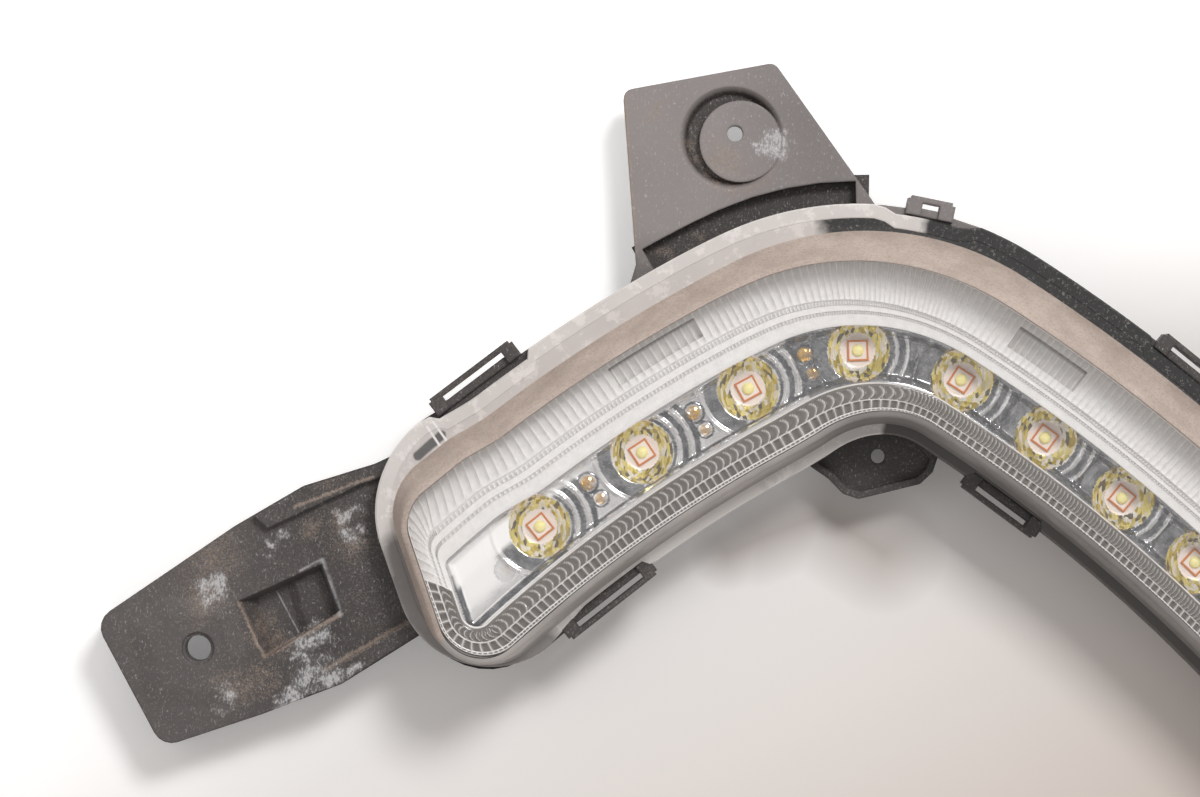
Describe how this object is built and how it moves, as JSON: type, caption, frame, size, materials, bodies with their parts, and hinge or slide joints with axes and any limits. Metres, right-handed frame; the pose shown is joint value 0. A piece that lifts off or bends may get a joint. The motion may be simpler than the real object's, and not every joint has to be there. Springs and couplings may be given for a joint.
{
  "type": "daytime running light",
  "caption": "Boomerang shaped running light with a clear lens, fluted bezel, mirror trough of LEDs and three fixing ears.",
  "frame": {"origin": "middle of the outline seen from the front, on the flat back", "axes": "+X along the long way of the lamp, +Y towards the top ear, +Z out of the lens"},
  "size_m": [0.3352, 0.183, 0.036],
  "materials": {
    "housing": "moulded black plastic, dusty",
    "lens": "clear moulded plastic, dusty on its outer wall",
    "seal": "matt rubber",
    "bezel": "fluted, silvered plastic",
    "mirror": "mirror plated plastic",
    "led_board": "metal core board, white mask",
    "sink": "plain aluminium",
    "screws": "zinc plated steel",
    "driver_board": "green circuit board",
    "ferrite": "dark ferrite",
    "cans": "aluminium cans",
    "chip": "black epoxy with tinned legs",
    "pins": "brass blades",
    "ribbon": "flat jumper",
    "vent": "black plastic",
    "membrane": "white breather film",
    "led": "pale package with a yellow core"
  },
  "bodies": {
    "root": {"housing": "housing", "outer_lens": "lens", "lens_seal": "seal", "fluted_bezel": "bezel", "led_trough": "mirror", "circuit_board": "led_board", "heat_sink": "sink", "board_screws": "screws", "sink_screws": "screws", "driver_board": "driver_board", "driver_inductor": "ferrite", "driver_capacitors": "cans", "driver_chip": "chip", "terminal_pins": "pins", "jumper_ribbon": "ribbon", "vent_cap": "vent", "vent_membrane": "membrane", "led_1": "led", "led_2": "led", "led_3": "led", "led_4": "led", "led_5": "led", "led_6": "led", "led_7": "led", "led_8": "led", "led_9": "led"}
  },
  "joints": []
}
